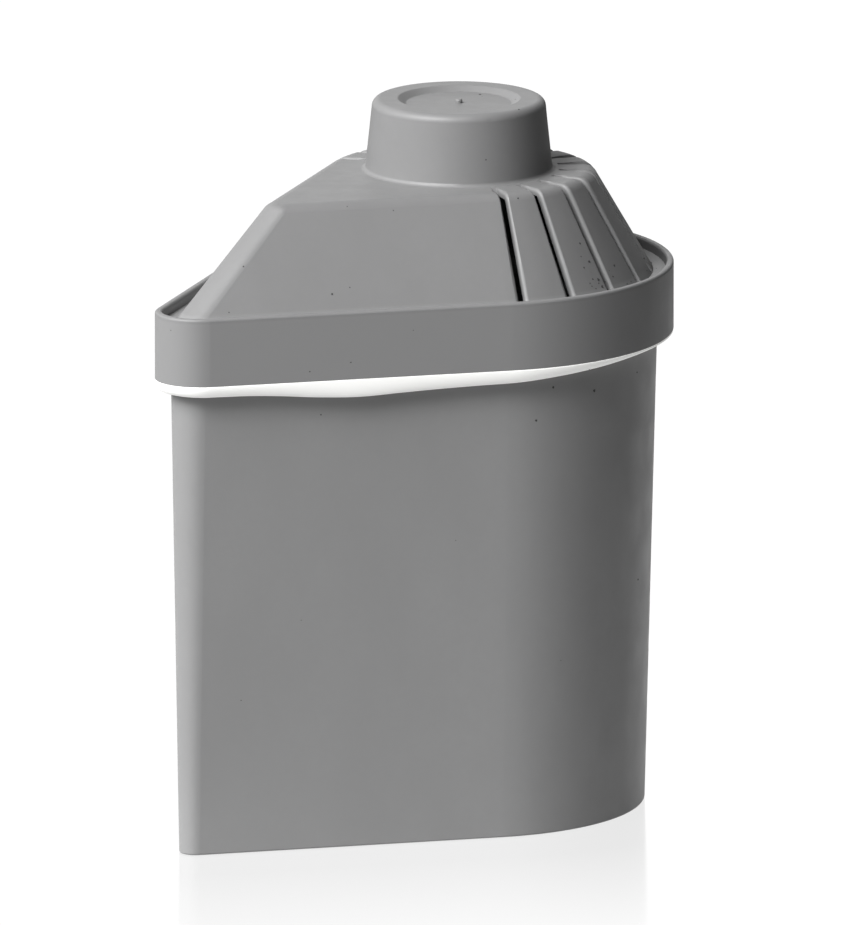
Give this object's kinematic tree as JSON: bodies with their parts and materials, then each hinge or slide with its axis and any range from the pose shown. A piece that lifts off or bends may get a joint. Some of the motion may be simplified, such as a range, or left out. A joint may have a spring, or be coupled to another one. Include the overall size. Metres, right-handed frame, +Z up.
{
  "type": "water pitcher filter cartridge",
  "caption": "Teardrop-shaped water filter cartridge: tapered cup, slotted hood with a finger knob, hanging collar and soft lip seal.",
  "frame": {"origin": "on the finger knob's axis, at the underside of the cup", "axes": "+Z up along the knob's axis, +X from the tip towards the round end, XZ is the plane of symmetry"},
  "size_m": [0.1051, 0.0738, 0.1228],
  "materials": {
    "cap_plastic": "satin grey moulding",
    "cup_plastic": "satin grey moulding",
    "seal_rubber": "soft white elastomer",
    "pad_felt": "dark pressed felt",
    "bed_granules": "loose dark granules"
  },
  "bodies": {
    "root": {"cap": "cap_plastic", "cup": "cup_plastic", "lip_seal": "seal_rubber", "inlet_pad": "pad_felt", "filter_bed": "bed_granules", "outlet_pad": "pad_felt"}
  },
  "joints": []
}
